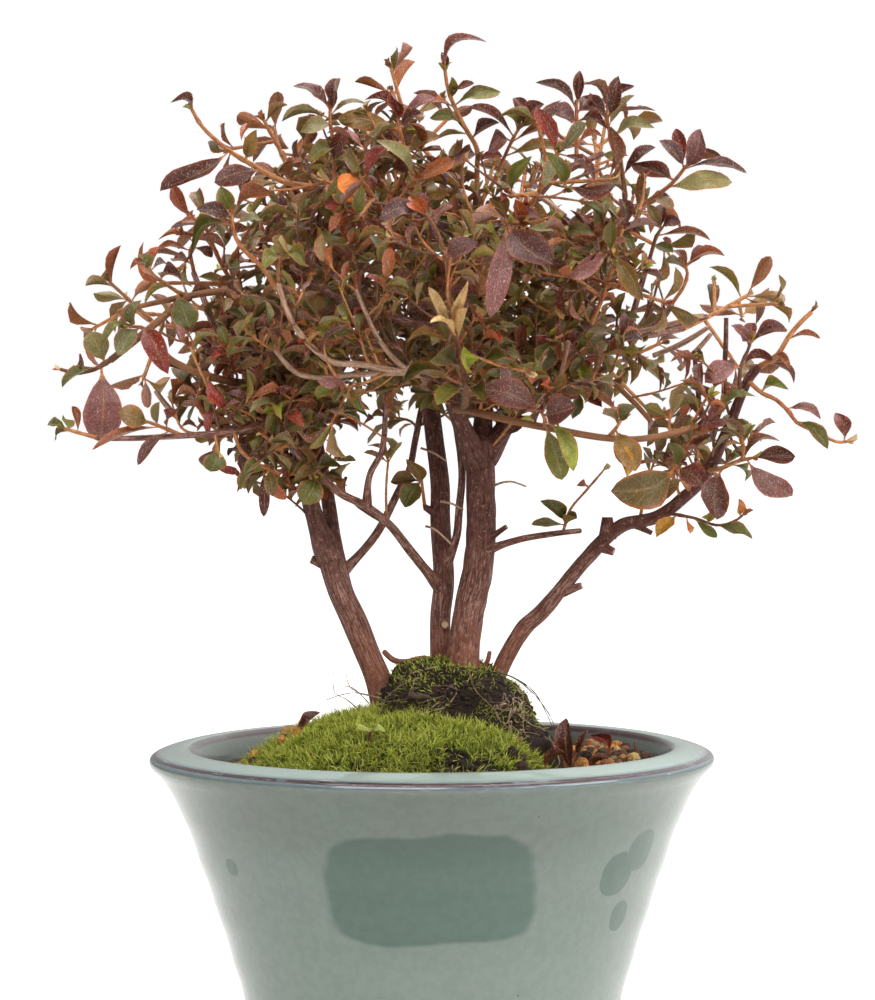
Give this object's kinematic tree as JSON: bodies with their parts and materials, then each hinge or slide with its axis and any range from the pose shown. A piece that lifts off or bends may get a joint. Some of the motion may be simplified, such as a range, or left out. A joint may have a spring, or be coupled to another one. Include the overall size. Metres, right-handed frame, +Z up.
{
  "type": "satsuki azalea bonsai",
  "caption": "Bonsai azalea clump with slim trunks and a twiggy domed crown of small leaves, in a round flared glazed pot with moss and gravel.",
  "frame": {"origin": "centre of the pot's flat foot, on the surface that the pot stands on", "axes": "+Z up along the pot's axis, -Y is the front of the tree, +X to the right seen from the front"},
  "size_m": [0.2478, 0.1899, 0.3503],
  "materials": {
    "celadon_glaze": "gloss",
    "drainage_mesh": "matte",
    "potting_mix": "matte",
    "root_mass": "matte",
    "moss": "matte",
    "gravel": "matte",
    "bark": "matte",
    "foliage": "satin",
    "dry_leaf": "matte",
    "seedling": "satin"
  },
  "bodies": {
    "root": {"pot": "celadon_glaze", "drainage_mesh": "drainage_mesh", "potting_mix": "potting_mix", "root_mound": "root_mass", "moss_cushion": "moss", "gravel_top_dressing": "gravel", "fallen_leaf": "dry_leaf", "seedling": "seedling", "trunks_and_branches": "bark", "spray_long_left_shoot": "foliage", "spray_front_left_rosette": "foliage", "spray_front_light_tip": "foliage", "spray_outer_left_top": "foliage", "spray_upper_left_dark": "foliage", "spray_left_arm_tip": "foliage", "spray_left_arm_cluster": "foliage", "spray_low_left_tip": "foliage", "spray_low_left_cluster": "foliage", "spray_low_left_hanging": "foliage", "spray_low_left_under": "foliage", "spray_trunk_leaf_cluster": "foliage", "spray_top_shoot": "foliage", "spray_top_right_rosette": "foliage", "spray_upper_left_rosette": "foliage", "spray_upper_centre_rosette": "foliage", "spray_upper_right_shoot": "foliage", "spray_upper_right_cluster": "foliage", "spray_right_top_rosette": "foliage", "spray_right_edge_cluster": "foliage", "spray_right_edge_twig": "foliage", "spray_front_centre_top": "foliage", "spray_front_orange_shoot": "foliage", "spray_front_purple_pair": "foliage", "spray_front_right_hanging": "foliage", "spray_right_purple_leaf": "foliage", "spray_right_top_shoot": "foliage", "spray_far_right_shoot": "foliage", "spray_right_low_leaves": "foliage", "spray_right_low_twig": "foliage", "spray_right_big_leaf": "foliage", "spray_inner_right_twig": "foliage", "spray_trunk_side_leaf": "foliage", "spray_rear_left_high": "foliage", "spray_rear_right_high": "foliage", "spray_rear_middle": "foliage", "spray_rear_left_low": "foliage", "spray_rear_right_low": "foliage", "spray_rear_low": "foliage", "spray_front_right_mid": "foliage", "spray_front_left_high": "foliage", "spray_front_top": "foliage", "spray_rear_top": "foliage", "spray_rear_top_right": "foliage", "spray_rear_top_left": "foliage", "spray_right_rear": "foliage", "spray_left_rear": "foliage", "spray_middle_left": "foliage", "spray_rear_centre_high": "foliage", "spray_rear_left_middle": "foliage"}
  },
  "joints": []
}
